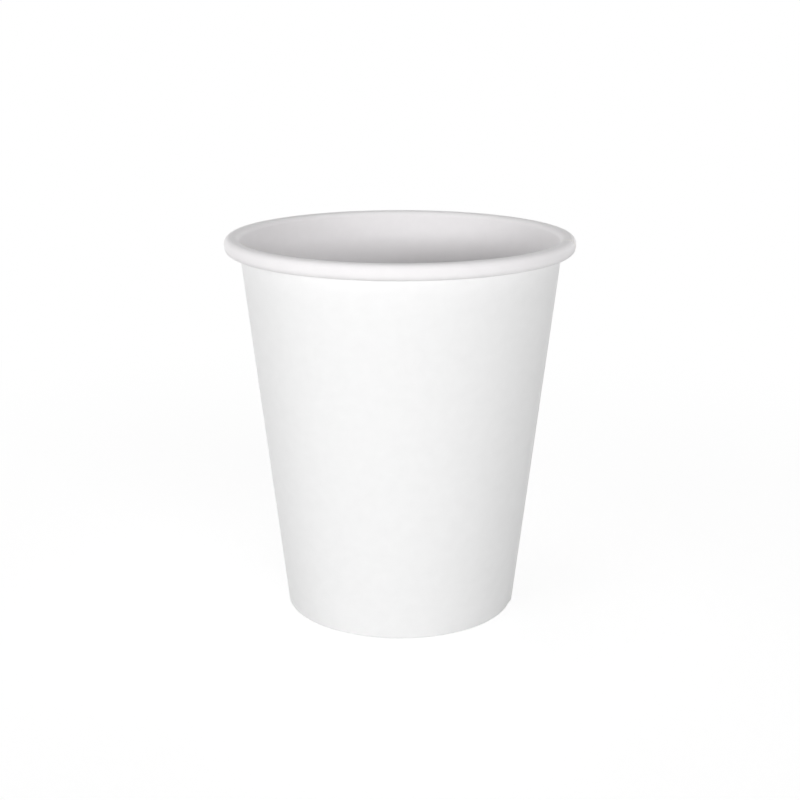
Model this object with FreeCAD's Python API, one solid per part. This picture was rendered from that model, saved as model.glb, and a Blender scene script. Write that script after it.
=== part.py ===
import FreeCAD, Part
import math
import os

# The cup is two pieces of coated board. The sidewall is a fan-shaped blank wrapped into a cone,
# lapped and sealed on itself, rolled outward at the rim and folded inward at the foot. The base is
# a disc with its edge turned down into a skirt, held between the wall and the folded hem.
# The axis of the cup is Z, +Z is up and the cup stands on Z = 0. Lengths are in millimetres.

# Driving dimensions of the whole cup
rim_diameter = 80.0        # over the outside of the rolled rim, the size that a lid fits
cup_height = 88.0          # from the resting plane to the top of the rim
base_diameter = 53.5       # outside of the wall where it meets the resting plane

# Board
wall_board = 0.33          # coated board of the sidewall
base_board = 0.28          # lighter coated board of the base

# Rolled rim
roll_height = 3.5          # the roll from its underside to its top
roll_width = 3.6           # the roll from the mouth to its outermost line
roll_radius = 1.45         # of its rounded corners; its top is level and its side is upright
roll_play = 0.08           # air between the doubled board at the seam and the next turn inside it
tuck_angle = 60.0          # degrees that the end of the roll turns on inside it

# Side seam
lap_width = 7.0            # overlap of the two ends of the blank, along the mouth
climb_width = 2.0          # stretch where the outer end climbs over the edge of the inner end
seam_azimuth = -11.5       # degrees from +X towards +Y to the inner end's edge

# Foot
hem_height = 5.5           # folded part of the wall, from the crease to its cut edge
seal_gap = 0.05            # sealed coating on each side of the skirt
skirt_end_play = 0.15      # from the cut edge of the skirt down to the board of the foot
hem_end_play = 0.6         # from the cut edge of the hem up to the disc

# Places that follow
rim_radius = rim_diameter / 2
base_radius = base_diameter / 2
roll_shoulder = cup_height - roll_radius
roll_side = roll_height - 2 * roll_radius
mouth_radius = rim_radius - roll_width
foot_radius = base_radius - wall_board
taper = math.atan2(mouth_radius - foot_radius, roll_shoulder)
wall_heading = 90 - math.degrees(taper)
wall_up = FreeCAD.Vector(math.sin(taper), 0, math.cos(taper))
wall_out = FreeCAD.Vector(math.cos(taper), 0, -math.sin(taper))

lap_angle = math.degrees(lap_width / mouth_radius)
climb_angle = math.degrees(climb_width / mouth_radius)
turn_pitch = 2 * wall_board + roll_play

center = FreeCAD.Vector(0, 0, 0)
axis = FreeCAD.Vector(0, 0, 1)
touching = 0.000001        # points closer than this are one point


def beside_wall(height, depth):
    """The point at a height that lies a given depth inside the inner face of the wall."""
    radius = foot_radius + height * math.tan(taper) - depth / math.cos(taper)
    return FreeCAD.Vector(radius, 0, height)


def to_the_right(spot, heading, distance):
    """The point beside a spot on a path, to the right of its heading."""
    angle = math.radians(heading)
    return spot + FreeCAD.Vector(math.sin(angle), 0, -math.cos(angle)) * distance


def straight(length):
    """A move that runs straight on."""
    return ("straight", length, 0)


def turn(radius, angle):
    """A move along an arc, to the left for a positive angle and to the right for a negative one."""
    return ("turn", radius, angle)


def crease(angle):
    """A sharp fold, whose outside stretches round a corner one board thick."""
    return turn(0, angle)


def carry_on(spot, heading, move, share):
    """Where a path has got to, and its heading, after a share of a move."""
    kind, size, angle = move
    if kind == "straight":
        return to_the_right(spot, heading + 90, size * share), heading
    side = -size if angle > 0 else size
    middle = to_the_right(spot, heading, side)
    new_heading = heading + angle * share
    return to_the_right(middle, new_heading, -side), new_heading


def trace(spot, heading, moves, offset):
    """The edges of a path in the XZ plane, shifted to its right by an offset."""
    edges = []
    for move in moves:
        half_spot, half_heading = carry_on(spot, heading, move, 0.5)
        end_spot, end_heading = carry_on(spot, heading, move, 1)
        start = to_the_right(spot, heading, offset)
        middle = to_the_right(half_spot, half_heading, offset)
        end = to_the_right(end_spot, end_heading, offset)
        in_the_crease = start.isEqual(end, touching)
        if move[0] == "straight":
            edges.append(Part.LineSegment(start, end).toShape())
        elif not in_the_crease:
            edges.append(Part.Arc(start, middle, end).toShape())
        spot, heading = end_spot, end_heading
    return edges


def band(spot, heading, moves, near, far):
    """The closed outline of a board that follows a path, between two offsets to its right."""
    near_edges = trace(spot, heading, moves, near)
    far_edges = trace(spot, heading, moves, far)
    first_cut = Part.LineSegment(
        far_edges[0].firstVertex(True).Point, near_edges[0].firstVertex(True).Point)
    last_cut = Part.LineSegment(
        near_edges[-1].lastVertex(True).Point, far_edges[-1].lastVertex(True).Point)
    outline = near_edges + [last_cut.toShape()] + far_edges[::-1] + [first_cut.toShape()]
    return Part.Wire(outline)


def turned(shape, azimuth):
    """A copy of a shape, turned about the axis of the cup."""
    copy = shape.copy()
    copy.rotate(center, axis, azimuth)
    return copy


def swept(outline, start, angle):
    """The solid that an outline sweeps about the axis, from a start azimuth through an angle."""
    return turned(Part.Face(outline).revolve(center, axis, angle), start)


# The sidewall follows one path, the face of the board that holds the drink. It starts at the cut
# edge of the hem, goes down, round the foot, up the wall and round the roll. The other face is
# one board to the right, and the outer layer of the seam lies between one board and two.
skirt_space = base_board + 2 * seal_gap
hem_crease = beside_wall(wall_board, skirt_space)
wall_crease = beside_wall(wall_board, 0)
hem_edge = hem_crease + wall_up * hem_height

roll_start_height = roll_shoulder + roll_radius * math.sin(taper)
wall_length = (roll_start_height - wall_crease.z) / math.cos(taper)
roll_top_length = rim_radius - roll_radius - mouth_radius - roll_radius / math.cos(taper)
tuck_radius = roll_width - roll_radius - turn_pitch
end_radius = roll_height - turn_pitch - tuck_radius

foot_moves = [
    straight(hem_height),
    crease(180 - wall_heading),
    straight(wall_crease.x - hem_crease.x),
    crease(wall_heading),
]
wall_moves = [
    straight(wall_length),
    turn(roll_radius, -wall_heading),
    straight(roll_top_length),
    turn(roll_radius, -90),
    straight(roll_side),
    turn(roll_radius, -90),
    turn(tuck_radius, -90),
    turn(end_radius, -tuck_angle),
]


def blank_outline(near, far):
    """The outline of the whole section, from the edge of the hem to the end of the roll."""
    return band(hem_edge, wall_heading + 180, foot_moves + wall_moves, near, far)


def climb(start_outline, end_outline):
    """The board between two of its sections, where it rises from one layer to the next."""
    first = turned(start_outline, seam_azimuth - climb_angle)
    last = turned(end_outline, seam_azimuth)
    return Part.makeLoft([first, last], True, True)


def make_sidewall():
    """The wrapped, rolled and folded wall, with the step of its side seam."""
    one_layer = blank_outline(0, wall_board)
    two_layers = blank_outline(0, 2 * wall_board)
    rest_angle = 360 - lap_angle - climb_angle
    lap = swept(two_layers, seam_azimuth, lap_angle)
    wrap = swept(one_layer, seam_azimuth + lap_angle, rest_angle)

    # Above the foot the outer end leaves a small pocket beside the edge of the inner end.
    # In the foot the fold presses the layers together, so only the outside thickens.
    wall_climb = climb(
        band(wall_crease, wall_heading, wall_moves, 0, wall_board),
        band(wall_crease, wall_heading, wall_moves, wall_board, 2 * wall_board))
    foot_climb = climb(
        band(hem_edge, wall_heading + 180, foot_moves, 0, wall_board),
        band(hem_edge, wall_heading + 180, foot_moves, 0, 2 * wall_board))
    wall = wrap.fuse([lap, wall_climb, foot_climb]).removeSplitter()

    # Forming presses the foot level, so that the doubled seam doesn't make the cup rock.
    above_ground = Part.makeCylinder(rim_diameter, 2 * cup_height, center, axis)
    return wall.common(above_ground)


# The base disc sits just above the hem, and its skirt reaches down into the fold.
hem_top = hem_edge.z + 2 * wall_board * math.sin(taper)
disc_underside = hem_top + hem_end_play
disc_top = disc_underside + base_board
bend_middle = beside_wall(disc_underside, seal_gap + base_board)
skirt_start = bend_middle + wall_out * base_board
skirt_end = beside_wall(wall_board + skirt_end_play, seal_gap)


def make_base_disc():
    """The disc with its edge creased down into a skirt that runs along the wall."""
    moves = [
        straight(bend_middle.x),
        turn(base_board, wall_heading - 180),
        straight((skirt_start - skirt_end).dot(wall_up)),
    ]
    outline = band(FreeCAD.Vector(0, 0, disc_top), 0, moves, 0, base_board)
    return swept(outline, 0, 360)


def save(name, shape):
    """Write one piece to its own file and print what it measures."""
    box = shape.optimalBoundingBox(False, False)
    print(f"{name}: {len(shape.Solids)} solid, valid {shape.isValid()}, {shape.Volume:.1f} mm3,"
          f" {box.XLength:.2f} x {box.YLength:.2f} x {box.ZLength:.2f} mm,"
          f" from Z {box.ZMin:.2f} to {box.ZMax:.2f}")
    shape.exportStep(f"parts/{name}.step")


os.makedirs("parts", exist_ok=True)
save("sidewall", make_sidewall())
save("base_disc", make_base_disc())
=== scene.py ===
# %% [markdown]
# # A paper coffee cup
#
# The cup is two pieces of board. A fan-shaped blank is wrapped into a cone and sealed along a side
# seam, its upper edge is rolled outward into a hollow rim, and its lower edge is folded inward.
# A round blank with its edge turned down is the base, and the fold holds it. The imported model
# gives both pieces and their places. Here each gets a finer mesh, and the finish of real board.

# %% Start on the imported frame
import bpy
import bmesh
import math
from mathutils import Matrix, Vector


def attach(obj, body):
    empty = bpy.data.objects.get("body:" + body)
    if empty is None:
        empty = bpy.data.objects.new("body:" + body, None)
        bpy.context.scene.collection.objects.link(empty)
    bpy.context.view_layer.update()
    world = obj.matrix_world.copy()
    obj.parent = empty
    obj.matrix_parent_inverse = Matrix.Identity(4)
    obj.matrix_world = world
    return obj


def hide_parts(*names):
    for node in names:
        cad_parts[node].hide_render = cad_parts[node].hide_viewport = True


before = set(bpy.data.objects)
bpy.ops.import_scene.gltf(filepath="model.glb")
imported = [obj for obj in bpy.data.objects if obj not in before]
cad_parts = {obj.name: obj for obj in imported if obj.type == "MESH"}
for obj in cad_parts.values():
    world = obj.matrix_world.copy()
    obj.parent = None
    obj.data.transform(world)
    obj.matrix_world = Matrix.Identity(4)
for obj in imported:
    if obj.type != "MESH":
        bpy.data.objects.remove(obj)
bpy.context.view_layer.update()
print("nodes:", sorted(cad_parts))

# %% [markdown]
# ## Measures
#
# A machine that forms cups is set with few numbers: the rim, the height, the foot, the board, and
# how far the ends of the blank overlap. All of them are in millimetres, as on a drawing. The
# meshes are drawn in millimetres too, and each is scaled to metres when it is finished.

# %% Measures of the cup
rim_diameter = 80.0        # over the outside of the roll
cup_height = 88.0
foot_diameter = 53.5       # outside of the wall, on the table
wall_board = 0.33
base_board = 0.28

roll_height = 3.5
roll_width = 3.6           # from the mouth to the outermost line of the roll
roll_radius = 1.45         # of the rounded corners of the roll
roll_play = 0.08           # air between the turns of the roll
tuck_angle = 60.0          # degrees that the end of the roll turns on inside it

lap_width = 7.0
climb_width = 2.0          # where the outer end of the blank climbs over the inner end
seam_azimuth = -11.5       # degrees from +X towards +Y

hem_height = 5.5
seal_gap = 0.05            # on each side of the skirt of the base
skirt_end_play = 0.15      # below the edge of the skirt
hem_end_play = 0.6         # above the edge of the hem

roll_shoulder = cup_height - roll_radius
roll_side = roll_height - 2 * roll_radius
mouth_radius = rim_diameter / 2 - roll_width
foot_radius = foot_diameter / 2 - wall_board
taper = math.atan2(mouth_radius - foot_radius, roll_shoulder)
wall_heading = 90 - math.degrees(taper)
lap_angle = math.degrees(lap_width / mouth_radius)
climb_angle = math.degrees(climb_width / mouth_radius)
print(f"taper {math.degrees(taper):.2f} degrees, lap {lap_angle:.1f} degrees")

# %% [markdown]
# ## A path for a sheet
#
# Board is bent, never carved, so its section is a path with straight stretches and turns. The path
# could be typed in as points. Instead it is driven like a pen: `straight` extrudes the last point
# forward, and `turn` spins it round the middle of a bend. The bends then stay true circles, and a
# change of one measure moves all that follows it.

# %% Drive a path
def to_the_left(heading):
    """The unit vector to the left of a heading, in the plane of the section."""
    return Vector((-math.sin(math.radians(heading)), 0, math.cos(math.radians(heading))))


def beside_wall(height, depth):
    """The point at a height that lies a given depth inside the inner face of the wall."""
    radius = foot_radius + height * math.tan(taper) - depth / math.cos(taper)
    return Vector((radius, 0, height))


def only_verts(geometry):
    """The points among what an operator returns."""
    return [item for item in geometry if isinstance(item, bmesh.types.BMVert)]


class Path:
    """A chain of edges in the plane y = 0 that grows from its last point."""

    def __init__(self, start, heading):
        self.bm = bmesh.new()
        self.tip = self.bm.verts.new(start)
        self.heading = heading

    def straight(self, length, steps):
        """Go straight on."""
        step = to_the_left(self.heading - 90) * (length / steps)
        for _ in range(steps):
            made = bmesh.ops.extrude_vert_indiv(self.bm, verts=[self.tip])
            self.tip = made["verts"][0]
            bmesh.ops.translate(self.bm, verts=[self.tip], vec=step)

    def turn(self, radius, angle, steps):
        """Turn left for a positive angle in degrees, and right for a negative one."""
        side = radius if angle > 0 else -radius
        middle = self.tip.co + to_the_left(self.heading) * side
        made = bmesh.ops.spin(
            self.bm, geom=[self.tip], cent=middle, axis=(0, -1, 0),
            angle=math.radians(angle), steps=steps)
        self.tip = only_verts(made["geom_last"])[0]
        self.heading += angle


# %% [markdown]
# ## The section of the sidewall
#
# The path follows the face of the board that holds the drink. It starts at the cut edge of the
# hem, runs down inside the foot, folds round the skirt of the base, climbs the wall, and rolls
# outward and in on itself at the rim. The thickness comes later, on the right-hand side of the
# path. The rolled part needs many points, because the rim is what the light falls on.

# %% Path of the sidewall
fold_radius = 0.1          # inside of a crease; board doesn't fold more sharply
hem_crease = 180 - wall_heading
wall_crease = wall_heading
hem_trim = fold_radius * math.tan(math.radians(hem_crease / 2))
wall_trim = fold_radius * math.tan(math.radians(wall_crease / 2))
wall_up = to_the_left(wall_heading - 90)

hem_corner = beside_wall(wall_board, base_board + 2 * seal_gap)
wall_corner = beside_wall(wall_board, 0)
foot_width = wall_corner.x - hem_corner.x
roll_start_height = roll_shoulder + roll_radius * math.sin(taper)
wall_length = (roll_start_height - wall_corner.z) / math.cos(taper)
roll_top_length = rim_diameter / 2 - roll_radius - mouth_radius - roll_radius / math.cos(taper)
turn_pitch = 2 * wall_board + roll_play
tuck_radius = roll_width - roll_radius - turn_pitch
end_radius = roll_height - turn_pitch - tuck_radius

path = Path(hem_corner + wall_up * hem_height, wall_heading + 180)
path.straight(hem_height - hem_trim, steps=7)
path.turn(fold_radius, hem_crease, steps=3)
path.straight(foot_width - hem_trim - wall_trim, steps=1)
path.turn(fold_radius, wall_crease, steps=3)
path.straight(wall_length - wall_trim, steps=20)
path.turn(roll_radius, -wall_heading, steps=12)
path.straight(roll_top_length, steps=2)
path.turn(roll_radius, -90, steps=12)
path.straight(roll_side, steps=2)
path.turn(roll_radius, -90, steps=12)
path.turn(tuck_radius, -90, steps=10)
path.turn(end_radius, -tuck_angle, steps=6)
wall_bm = path.bm
print(f"path of the sidewall: {len(wall_bm.verts)} points, ends at x {path.tip.co.x:.2f} mm")

# %% [markdown]
# ## Wrapping the blank
#
# Spin turns the path into a surface. Before that, each point of the path is told how far along it
# lies, and spin hands this number on to every copy. The seam, the ribs of the hem and the pattern
# of the board all read it. A point's place in space would tell the same, but only until the lap
# and the ribs move it.

# %% Helpers for wrapping
columns = 480              # columns of faces in one turn, four for each rib of the hem
hair = 0.1                 # degrees; this close to the seam counts as at the seam


def mark_along(bm):
    """Store on each point of a path its distance from the start, and return the length."""
    along = bm.verts.layers.float.new("along")
    bm.verts.ensure_lookup_table()
    distance = 0
    for before, here in zip(bm.verts[:-1], bm.verts[1:]):
        distance += (here.co - before.co).length
        here[along] = distance
    return distance


def spin_round(bm, geometry, angle, steps, closed=False):
    """Sweep a path about the axis of the cup, and return the last copy of it."""
    made = bmesh.ops.spin(
        bm, geom=geometry, cent=(0, 0, 0), axis=(0, 0, 1), angle=math.radians(angle),
        steps=steps, use_merge=closed)
    return made["geom_last"]


def degrees_round(point):
    """Degrees from the seam to a point, round the cup."""
    azimuth = math.degrees(math.atan2(point.y, point.x)) - seam_azimuth
    return (azimuth + hair) % 360 - hair


path_length = mark_along(wall_bm)
print(f"the path is {path_length:.1f} mm long")

# %% [markdown]
# ## One turn and a lap
#
# The wall is wrapped a little more than one whole turn, so that the end of the blank laps over its
# start. Each point also gets its angle round the cup. The two layers of the lap still lie in the
# same place, so their angles alone can't tell them apart: what is made after the first turn counts
# on from 360 degrees.

# %% Wrap the sidewall
around = wall_bm.verts.layers.float.new("around")
along = wall_bm.verts.layers.float["along"]
to_the_seam = Matrix.Rotation(math.radians(seam_azimuth), 3, "Z")
bmesh.ops.rotate(wall_bm, verts=wall_bm.verts[:], cent=(0, 0, 0), matrix=to_the_seam)

turn_end = spin_round(wall_bm, wall_bm.verts[:] + wall_bm.edges[:], 360, columns)
one_turn = set(wall_bm.verts)
turn_end_verts = set(only_verts(turn_end))
spin_round(wall_bm, turn_end, lap_angle, round(lap_angle / 360 * columns))
for vert in wall_bm.verts:
    lapped = vert not in one_turn or vert in turn_end_verts
    vert[around] = degrees_round(vert.co) + (360 if lapped else 0)
print(f"wrapped {max(v[around] for v in wall_bm.verts):.1f} degrees, {len(wall_bm.faces)} faces")

# %% [markdown]
# ## The lap and the ribs
#
# Where the blank laps over its start, it climbs by one thickness of board, over a stretch that is
# much shorter in the roll than on the wall. A knurled roller also presses upright ribs into the
# hem, which grip the skirt of the base and help to seal it. Both are small moves along the
# surface's own normals, so the normals must all point to the same side. They point away from the
# drink, which is where the thickness goes next.

# %% Lift the lap and press the ribs
glue = 0.01                # mm of melted coating between the layers
ribs = columns // 4
rib_depth = 0.13           # mm
rib_margin = 0.7           # mm over which a rib rises at each of its ends
plain_margin = 5.0         # mm from the folds and the roll, where the wall is a plain cone
tight_climb = 360 / columns    # degrees; the roll is pressed hard, so the board climbs at once
foot_along = hem_height + foot_width
roll_along = foot_along + wall_length
roll_ease = 6.0            # mm of wall below the roll over which the climb narrows


def smooth_step(value):
    """Rise gently from 0 to 1 as the value goes from 0 to 1."""
    value = min(max(value, 0), 1)
    return value * value * (3 - 2 * value)


def lift(degrees, distance):
    """How far the board stands off the cone: over the lap, by one board and its glue."""
    rolled = smooth_step((distance - roll_along + roll_ease) / roll_ease)
    climb = climb_angle + (tight_climb - climb_angle) * rolled
    return (wall_board + glue) * smooth_step((degrees - 360 + climb) / climb)


def rib(degrees, distance):
    """How far a rib of the hem stands out, at a distance from the hem's cut edge."""
    wave = 0.5 - 0.5 * math.cos(math.radians(degrees * ribs))
    upper_end = smooth_step(distance / rib_margin)
    lower_end = smooth_step((hem_height - hem_trim - distance) / rib_margin)
    return rib_depth * wave * upper_end * lower_end


def turn_away_from(bm, low, high):
    """Make the normals of an open sheet point outward, judged by its faces between two heights."""
    bmesh.ops.recalc_face_normals(bm, faces=bm.faces[:])
    outward = 0
    for face in bm.faces:
        middle = face.calc_center_median()
        if low < middle.z < high:
            outward += face.normal.dot(Vector((middle.x, middle.y, 0)))
    if outward < 0:
        bmesh.ops.reverse_faces(bm, faces=bm.faces[:])


turn_away_from(wall_bm, hem_height + plain_margin, roll_shoulder - plain_margin)
wall_bm.normal_update()
for vert in wall_bm.verts:
    vert.co += vert.normal * (lift(vert[around], vert[along]) + rib(vert[around], vert[along]))
print(f"{ribs} ribs, {math.tau * hem_corner.x / ribs:.2f} mm apart")

# %% [markdown]
# ## The flat blank as a UV map
#
# Paper fibres lie in the sheet, so their pattern has to follow the board round every bend. Unrolled,
# a cone is a fan. The UV map is that fan in millimetres: the distance from the tip of the cone,
# and the angle round it made smaller by the slope of the wall. The pattern then crosses the seam
# at a slight angle, as it does on a real cup.

# %% Lay the blank flat
fan_share = math.sin(taper)
foot_reach = foot_radius / fan_share


def flat_fan(vert):
    """Where a point of the wall lies on the flat blank, in millimetres."""
    reach = foot_reach + vert[along] - foot_along
    angle = math.radians(vert[around] - (360 + lap_angle) / 2) * fan_share
    return Vector((reach * math.sin(angle), reach * math.cos(angle)))


def map_flat(bm, flat):
    """Give every corner of every face its place on the flat blank."""
    blank = bm.loops.layers.uv.new("blank")
    for face in bm.faces:
        for loop in face.loops:
            loop[blank].uv = flat(loop.vert)


map_flat(wall_bm, flat_fan)
print(f"blank: a fan of {math.degrees(math.radians(360 + lap_angle) * fan_share):.1f} degrees, "
      f"{path_length:.1f} mm from edge to edge")

# %% [markdown]
# ## Helpers for materials
#
# Colours are written as on a paint card, as sRGB hex values, and the shader wants linear light.
# One function turns them. Another adds a node, sets it and plugs other nodes into it, so that each
# material below reads as a short list of what gives the board its look.

# %% Helpers for materials
millimetre = 0.001         # in metres, Blender's unit


def linear(hex_colour):
    """The linear RGBA colour of an sRGB hex value."""
    channels = [int(hex_colour[place:place + 2], 16) / 255 for place in (1, 3, 5)]
    return [c / 12.92 if c <= 0.04045 else ((c + 0.055) / 1.055) ** 2.4 for c in channels] + [1]


def add_node(tree, kind, settings=None, links=None):
    """Add a node, set its properties and sockets, and plug other nodes' outputs into it."""
    node = tree.nodes.new(kind)
    for name, value in (settings or {}).items():
        if isinstance(name, int) or name in node.inputs:
            node.inputs[name].default_value = value
        else:
            setattr(node, name, value)
    for name, output in (links or {}).items():
        tree.links.new(output, node.inputs[name])
    return node


def empty_material(name):
    """A new material with no nodes."""
    material = bpy.data.materials.new(name)
    material.use_nodes = True
    material.node_tree.nodes.clear()
    return material


def surface(tree, shader):
    """Plug a shader into the output of a material."""
    add_node(tree, "ShaderNodeOutputMaterial", links={"Surface": shader.outputs[0]})


# %% [markdown]
# ## The board outside: bleached paperboard, uncoated
#
# Bleached pulp board is matt and nearly white. Held to the light its fibres clump into faint
# clouds a few millimetres wide, which paper makers call formation, and single fibres lie mostly
# along the way the board machine ran. The fibres are 0.03 mm thick, too fine for the picture, so
# they are drawn 0.3 mm wide. The noise could be an image, but procedural noise has no edge to hide.

# %% Board outside
formation_size = 3.0       # mm, one cloud of fibres
fibre_width = 0.3          # mm, drawn ten times too coarse
fibre_length = 2.4         # mm
noise_low = 0.3            # most of the noise lies between these two values
noise_high = 0.7


def board_pattern(tree):
    """The clouds and the fibres of board, laid out on the flat blank."""
    flat = add_node(tree, "ShaderNodeUVMap", {"uv_map": "blank"})
    clouds = add_node(
        tree, "ShaderNodeTexNoise",
        {"Scale": 1 / formation_size, "Detail": 4.0, "Roughness": 0.6},
        {"Vector": flat.outputs[0]})
    stretch = add_node(
        tree, "ShaderNodeMapping", {"Scale": (1 / fibre_width, 1 / fibre_length, 1)},
        {"Vector": flat.outputs[0]})
    fibres = add_node(
        tree, "ShaderNodeTexNoise",
        {"Scale": 1.0, "Detail": 3.0, "Roughness": 0.55, "Distortion": 0.6},
        {"Vector": stretch.outputs[0]})
    return clouds.outputs[0], fibres.outputs[0]


def make_board(name, light, dark, roughness, ior, fibre_height, rough_play):
    """A sheet of board: two tones by formation, and fibres as a shallow bump."""
    material = empty_material(name)
    tree = material.node_tree
    clouds, fibres = board_pattern(tree)
    tone = add_node(
        tree, "ShaderNodeMix", {"data_type": "RGBA", 6: linear(dark), 7: linear(light)},
        {0: clouds})
    matt = add_node(
        tree, "ShaderNodeMapRange",
        {"From Min": noise_low, "From Max": noise_high, "To Min": roughness - rough_play,
         "To Max": roughness + rough_play},
        {"Value": clouds})
    bump = add_node(
        tree, "ShaderNodeBump", {"Strength": 1.0, "Distance": fibre_height * millimetre},
        {"Height": fibres})
    shader = add_node(
        tree, "ShaderNodeBsdfPrincipled", {"IOR": ior},
        {"Base Color": tone.outputs[2], "Roughness": matt.outputs[0],
         "Normal": bump.outputs[0]})
    surface(tree, shader)
    return material


outside_board = make_board(
    "bleached paperboard, uncoated", "#F5F5F5", "#EFEFEF",
    roughness=0.85, ior=1.45, fibre_height=0.012, rough_play=0.05)
print("made", outside_board.name)

# %% [markdown]
# ## The board inside: coated with polyethylene
#
# The side that holds the drink carries a film of clear polyethylene, about 0.02 mm thick. It
# fills the hollows between fibres, so the surface has a soft satin sheen, and the roller that
# chilled the film leaves it a little uneven. The same film covers the rim, which is rolled out of
# the inside of the cup. It is the same recipe as the board outside, smoother and faintly pink.

# %% Board inside
inside_board = make_board(
    "paperboard with polyethylene film", "#F6F4F5", "#F0EEEF",
    roughness=0.46, ior=1.51, fibre_height=0.006, rough_play=0.05)
print("made", inside_board.name)

# %% [markdown]
# ## The cut edge
#
# Where the blank was cut, the middle of the board shows. It isn't coated, its fibres stand up, and
# it drinks in light, so it looks darker and warmer than the faces. The edge has no width to speak
# of on the flat blank, so its pattern reads Object coordinates instead.

# %% Cut edge of board
edge_grain = 0.25          # mm, one tuft of fibres
fuzz_height = 0.02         # mm that the fibres stand up


def make_cut_edge():
    """The bare middle of the board, with fibres that stand up."""
    material = empty_material("cut edge of paperboard")
    tree = material.node_tree
    place = add_node(tree, "ShaderNodeTexCoord")
    grain = add_node(
        tree, "ShaderNodeTexNoise",
        {"Scale": 1 / (edge_grain * millimetre), "Detail": 2.0},
        {"Vector": place.outputs["Object"]})
    tone = add_node(
        tree, "ShaderNodeMix",
        {"data_type": "RGBA", 6: linear("#E4E0D8"), 7: linear("#F0EDE7")},
        {0: grain.outputs[0]})
    bump = add_node(
        tree, "ShaderNodeBump", {"Strength": 1.0, "Distance": fuzz_height * millimetre},
        {"Height": grain.outputs[0]})
    shader = add_node(
        tree, "ShaderNodeBsdfPrincipled", {"Roughness": 0.95, "IOR": 1.45},
        {"Base Color": tone.outputs[2], "Normal": bump.outputs[0]})
    surface(tree, shader)
    return material


cut_edge = make_cut_edge()
print("made", cut_edge.name)

# %% [markdown]
# ## From sheet to board
#
# A Solidify modifier gives the sheet its thickness on the side that its normals point to. Its even
# offset keeps the board equally thick round the sharp folds. The first material goes on the side
# that the board grows to, and the material offsets give the face that holds the drink the second
# one and the cut edges the third. The modifier is applied, because the foot still has to be
# pressed level, and that has to move both faces.

# %% Give a sheet its thickness
sharp_angle = 50.0         # degrees; only cut edges are sharper than this


def thicken(bm, name, thickness, materials):
    """Turn a sheet into an object of board, and return it with its mesh open in a bmesh."""
    mesh = bpy.data.meshes.new(name)
    bm.to_mesh(mesh)
    bm.free()
    for material in materials:
        mesh.materials.append(material)
    piece = bpy.data.objects.new(name, mesh)
    bpy.context.scene.collection.objects.link(piece)
    board = piece.modifiers.new("board", "SOLIDIFY")
    board.thickness = thickness
    board.offset = 1       # all of it on the side of the normals
    board.use_even_offset = True
    board.use_quality_normals = True
    board.material_offset = 1
    board.material_offset_rim = 2
    evaluated = piece.evaluated_get(bpy.context.evaluated_depsgraph_get())
    piece.data = bpy.data.meshes.new_from_object(evaluated)
    piece.data.name = name
    piece.modifiers.clear()
    bpy.data.meshes.remove(mesh)
    solid = bmesh.new()
    solid.from_mesh(piece.data)
    return piece, solid


def finish_piece(piece, solid, body, node):
    """Scale a finished mesh to metres, smooth it, and tell the frame what it stands for."""
    bmesh.ops.scale(solid, verts=solid.verts[:], vec=(millimetre, millimetre, millimetre))
    solid.to_mesh(piece.data)
    triangles = sum(len(face.verts) - 2 for face in solid.faces)
    solid.free()
    piece.data.polygons.foreach_set("use_smooth", [True] * len(piece.data.polygons))
    piece.data.set_sharp_from_angle(angle=math.radians(sharp_angle))
    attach(piece, body)
    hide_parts(node)
    print(f"{piece.name}: {triangles} triangles")


# %% [markdown]
# ## Pressing the foot
#
# At the lap the foot is two boards thick, and the cup would rock on it. The forming machine
# presses the fold there until the whole foot is level. Beside the lap the single board is pulled
# up a little with it. Here the lowest millimetre of the foot is squeezed upward by as much as the
# lap is lifted.

# %% Press the foot and finish the sidewall
pressed_height = 3 * wall_board    # the part of the foot that the press squeezes
ease_angle = 9.0           # degrees beside the lap over which the press fades out


def pressed_by(degrees):
    """How deep the foot is pressed, at an angle from the seam."""
    if degrees > 180:
        return lift(degrees, 0)
    return (wall_board + glue) * smooth_step(1 - (degrees - lap_angle) / ease_angle)


cup_wall, wall_solid = thicken(wall_bm, "cup_wall", wall_board,
                               [outside_board, inside_board, cut_edge])
for vert in wall_solid.verts:
    if vert.co.z < pressed_height:
        press = pressed_by(degrees_round(vert.co))
        vert.co.z = (vert.co.z + press) * pressed_height / (pressed_height + press)
        vert.co.z = max(vert.co.z, 0)
finish_piece(cup_wall, wall_solid, "root", "sidewall")

# %% [markdown]
# ## The base
#
# The base is drawn the same way: out from the axis, over the bend, and down the skirt. It is spun
# a whole turn with its ends merged, and the ring of points on the axis becomes one. Half as many
# columns do, because the base has no ribs.

# %% Path and sheet of the base
same_spot = 0.001          # mm; points closer than this are one point
bend_margin = 0.5          # mm below the disc, where the skirt is straight
disc_underside = hem_corner.z + hem_height * math.cos(taper) + 2 * wall_board * math.sin(taper)
disc_underside += hem_end_play
disc_top = disc_underside + base_board
bend_middle = beside_wall(disc_underside, seal_gap + base_board)
skirt_end = beside_wall(wall_board + skirt_end_play, seal_gap)

path = Path(Vector((0, 0, disc_top)), 0)
path.straight(bend_middle.x, steps=14)
path.turn(base_board, wall_heading - 180, steps=6)
path.straight((path.tip.co - skirt_end).length, steps=4)
base_bm = path.bm
mark_along(base_bm)
spin_round(base_bm, base_bm.verts[:] + base_bm.edges[:], 360, columns // 2, closed=True)
bmesh.ops.remove_doubles(base_bm, verts=base_bm.verts[:], dist=same_spot)
turn_away_from(base_bm, skirt_end.z, disc_underside - bend_margin)
base_bm.normal_update()
top_normal = max(base_bm.verts, key=lambda vert: vert.co.z).normal.z
print(f"base: {len(base_bm.faces)} faces, top normal {top_normal:.2f}")

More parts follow.
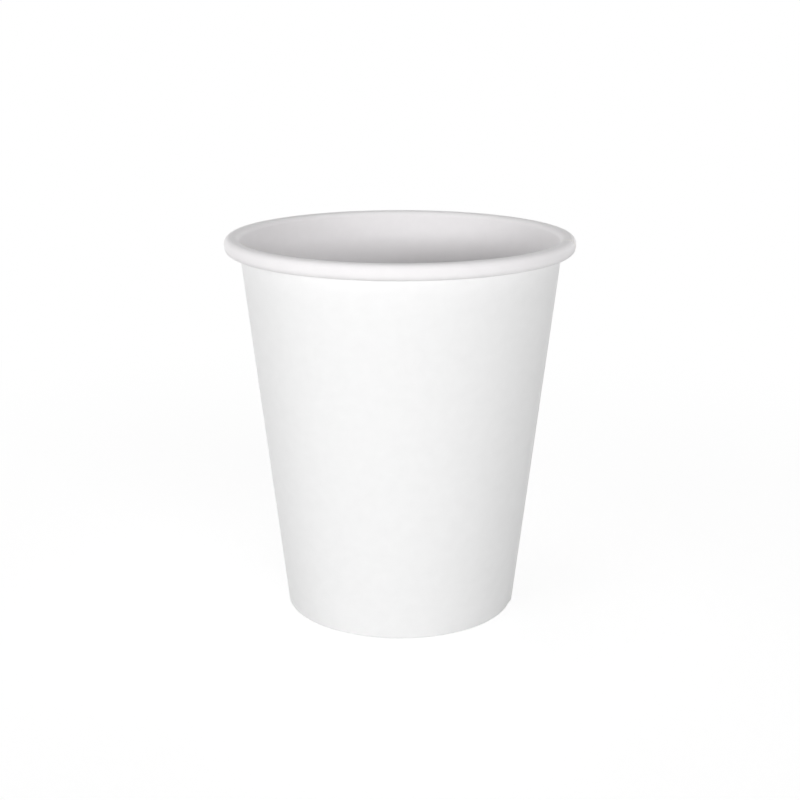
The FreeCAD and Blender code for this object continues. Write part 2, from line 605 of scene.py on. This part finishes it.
# %% [markdown]
# ## The dish of the base
#
# The flat blank of the base is a round disc, so its UV map is polar: each point lies as far from
# the middle as its path is long. A real base is never quite flat either, because the punch that
# drives it in leaves it slightly dished. The sheet is the face that holds the drink, so it is
# turned over before it gets its thickness, and the board grows downward.

# %% Flat blank, dish and thickness of the base
dish = 0.25                # mm that the middle of the base is lower than its edge
axis_spot = 0.1            # mm; a point this close to the axis is on it
along = base_bm.verts.layers.float["along"]


def flat_disc(vert):
    """Where a point of the base lies on its flat round blank, in millimetres."""
    direction = Vector((vert.co.x, vert.co.y))
    if direction.length < axis_spot:
        return direction
    return direction.normalized() * vert[along]


map_flat(base_bm, flat_disc)
for vert in base_bm.verts:
    share = (vert.co.x ** 2 + vert.co.y ** 2) / bend_middle.x ** 2
    vert.co.z -= dish * max(1 - share, 0)
bmesh.ops.reverse_faces(base_bm, faces=base_bm.faces[:])
cup_base, base_solid = thicken(base_bm, "cup_base", base_board,
                               [outside_board, inside_board, cut_edge])
finish_piece(cup_base, base_solid, "root", "base_disc")

# %% [markdown]
# ## The floor
#
# The cup stands on a white floor that runs on into a white room. A plain white floor would come
# out grey, because soft light never fills it evenly. So to the camera the floor glows. Near the
# cup the glow is weaker, and a real surface that takes the cup's shadow adds the rest. Away from
# the cup that fades into a glow of strength 1, which is white. To every other ray it is a pale
# matt floor. From below it is clear, and so is the spot that the cup hides, so that the foot can
# be seen and lit.

# %% Floor
floor_radius = 0.4         # metres
shadow_start = 0.05        # metres from the axis, where the floor starts to turn pure white
shadow_end = 0.28          # metres, where it has become pure white
near_glow = 0.8            # of the floor beside the cup; the lit surface adds the rest


def make_floor_material():
    """White to the camera, with the cup's shadow, and pale and matt to every other ray."""
    material = empty_material("white floor")
    tree = material.node_tree
    place = add_node(tree, "ShaderNodeTexCoord")
    distance = add_node(
        tree, "ShaderNodeVectorMath", {"operation": "LENGTH"}, {0: place.outputs["Object"]})
    fade = add_node(
        tree, "ShaderNodeMapRange",
        {"interpolation_type": "SMOOTHSTEP", "From Min": shadow_start, "From Max": shadow_end},
        {"Value": distance.outputs["Value"]})
    matt = add_node(tree, "ShaderNodeBsdfDiffuse", {"Color": linear("#E6E6E6")})
    catcher = add_node(tree, "ShaderNodeBsdfDiffuse", {"Color": linear("#9A9A9A")})
    glow = add_node(tree, "ShaderNodeEmission", {"Color": linear("#FFFFFF"), "Strength": near_glow})
    white = add_node(tree, "ShaderNodeEmission", {"Color": linear("#FFFFFF"), "Strength": 1.0})
    near = add_node(
        tree, "ShaderNodeAddShader", links={0: catcher.outputs[0], 1: glow.outputs[0]})
    seen = add_node(
        tree, "ShaderNodeMixShader",
        links={0: fade.outputs[0], 1: near.outputs[0], 2: white.outputs[0]})
    ray = add_node(tree, "ShaderNodeLightPath")
    to_eye = add_node(
        tree, "ShaderNodeMixShader",
        links={0: ray.outputs["Is Camera Ray"], 1: matt.outputs[0], 2: seen.outputs[0]})
    side = add_node(tree, "ShaderNodeNewGeometry")
    hidden = add_node(
        tree, "ShaderNodeMath", {"operation": "LESS_THAN", 1: foot_radius * millimetre},
        {0: distance.outputs["Value"]})
    open_floor = add_node(
        tree, "ShaderNodeMath", {"operation": "MAXIMUM"},
        {0: hidden.outputs[0], 1: side.outputs["Backfacing"]})
    clear = add_node(tree, "ShaderNodeBsdfTransparent")
    both = add_node(
        tree, "ShaderNodeMixShader",
        links={0: open_floor.outputs[0], 1: to_eye.outputs[0], 2: clear.outputs[0]})
    surface(tree, both)
    return material


floor_bm = bmesh.new()
bmesh.ops.create_circle(floor_bm, cap_ends=True, segments=96, radius=floor_radius)
floor_mesh = bpy.data.meshes.new("floor")
floor_bm.to_mesh(floor_mesh)
floor_bm.free()
floor_mesh.materials.append(make_floor_material())
floor = bpy.data.objects.new("floor", floor_mesh)
bpy.context.scene.collection.objects.link(floor)
print("floor", floor_radius, "m in radius")

# %% [markdown]
# ## The room
#
# The room is white to the camera and in reflections. To matt surfaces it is a dim studio, with a
# pale studio floor that shines up from below the edge of the table. Light from below reaches the
# outside of the cup and the underside of the rim, and none of it falls into the cup.

# %% World
room_light = 0.14          # from the walls and the ceiling
studio_floor_light = 0.76  # from below
horizon = 0.03             # how far above and below the horizon one turns into the other


def make_room():
    """White to the camera and in reflections, and a dim studio to matt surfaces."""
    world = bpy.data.worlds.new("white room")
    world.use_nodes = True
    tree = world.node_tree
    tree.nodes.clear()
    direction = add_node(tree, "ShaderNodeTexCoord")
    parts = add_node(tree, "ShaderNodeSeparateXYZ", links={0: direction.outputs["Generated"]})
    level = add_node(
        tree, "ShaderNodeMapRange",
        {"From Min": -horizon, "From Max": horizon, "To Min": studio_floor_light,
         "To Max": room_light},
        {"Value": parts.outputs["Z"]})
    room = add_node(
        tree, "ShaderNodeBackground", {"Color": linear("#FFFFFF")},
        {"Strength": level.outputs[0]})
    white = add_node(
        tree, "ShaderNodeBackground", {"Color": linear("#FFFFFF"), "Strength": 1.0})
    ray = add_node(tree, "ShaderNodeLightPath")
    glossy = add_node(
        tree, "ShaderNodeMath", {"operation": "MAXIMUM"},
        {0: ray.outputs["Is Camera Ray"], 1: ray.outputs["Is Glossy Ray"]})
    clear = add_node(
        tree, "ShaderNodeMath", {"operation": "MAXIMUM"},
        {0: glossy.outputs[0], 1: ray.outputs["Is Transmission Ray"]})
    mix = add_node(
        tree, "ShaderNodeMixShader",
        links={0: clear.outputs[0], 1: room.outputs[0], 2: white.outputs[0]})
    add_node(tree, "ShaderNodeOutputWorld", links={"Surface": mix.outputs[0]})
    return world


bpy.context.scene.world = make_room()
bpy.context.scene.view_settings.view_transform = "Standard"
print("room light", room_light, "from below", studio_floor_light)

# %% [markdown]
# ## The lamps
#
# The photograph shows where its lamps stood. The outside is bright in front and a little darker on
# the right, and the inside is bright at its top and dark a finger's breadth below. Light that comes
# in low does that: the near side of the rim shades the far wall from it. So the lamps are wide,
# low softboxes about ten degrees up: two in front, one on the left, and two behind the cup, which
# light the side that the photograph doesn't show. A weak one overhead lights the top of the rim.
# None of them shows in reflections. The sheen comes from the white room alone, so it stays as soft
# as in the photograph, and the rim doesn't flash white when it is seen against the light.

# %% Softboxes
aim = Vector((0, 0, cup_height / 2 * millimetre))
lamp_distance = 1.2        # metres


def softbox(name, azimuth, elevation, width, height, power):
    """A rectangular lamp that looks at the cup; azimuth 0 is in front, and + is to the right."""
    lamp = bpy.data.lights.new(name, "AREA")
    lamp.shape = "RECTANGLE"
    lamp.size = width
    lamp.size_y = height
    lamp.energy = power
    side, up = math.radians(azimuth), math.radians(elevation)
    direction = Vector((math.sin(side) * math.cos(up), -math.cos(side) * math.cos(up),
                        math.sin(up)))
    box = bpy.data.objects.new(name, lamp)
    box.location = aim + direction * lamp_distance
    box.rotation_euler = direction.to_track_quat("Z", "Y").to_euler()
    box.visible_camera = False
    box.visible_glossy = False
    bpy.context.scene.collection.objects.link(box)


# Azimuth and elevation in degrees, width and height in metres, and power in watts
softbox("front right", 18, 11.5, 0.8, 0.2, 7.95)
softbox("front left", -45, 10, 0.8, 0.16, 4.05)
softbox("left", -90, 5, 0.9, 0.4, 2.85)
softbox("back left", -150, 8, 0.9, 0.4, 3.6)
softbox("back right", 150, 8, 0.9, 0.4, 4.4)
softbox("overhead", 0, 89.9, 0.7, 0.7, 2.5)

# %% [markdown]
# ## The camera
#
# The camera stands in front of the cup and looks down on it by 16 degrees, so that the rim opens
# into an ellipse. The distance, the lens and the aim come from fitting the ellipses of the rim and
# the foot to the photograph.

# %% Camera
view_elevation = 16.06     # degrees
view_distance = 0.3535     # metres
aim_height = 0.04876       # metres above the floor
lens = 67.4                # mm
sensor_width = 36          # mm

camera_data = bpy.data.cameras.new("camera")
camera_data.sensor_width = sensor_width
camera_data.lens = lens
camera = bpy.data.objects.new("camera", camera_data)
camera.location = aim + Vector((0, -view_distance * math.cos(math.radians(view_elevation)),
                                view_distance * math.sin(math.radians(view_elevation))))
sight = camera.location - Vector((0, 0, aim_height))
camera.rotation_euler = sight.to_track_quat("Z", "Y").to_euler()
bpy.context.scene.collection.objects.link(camera)
bpy.context.scene.camera = camera
print("camera at", [round(value, 4) for value in camera.location])
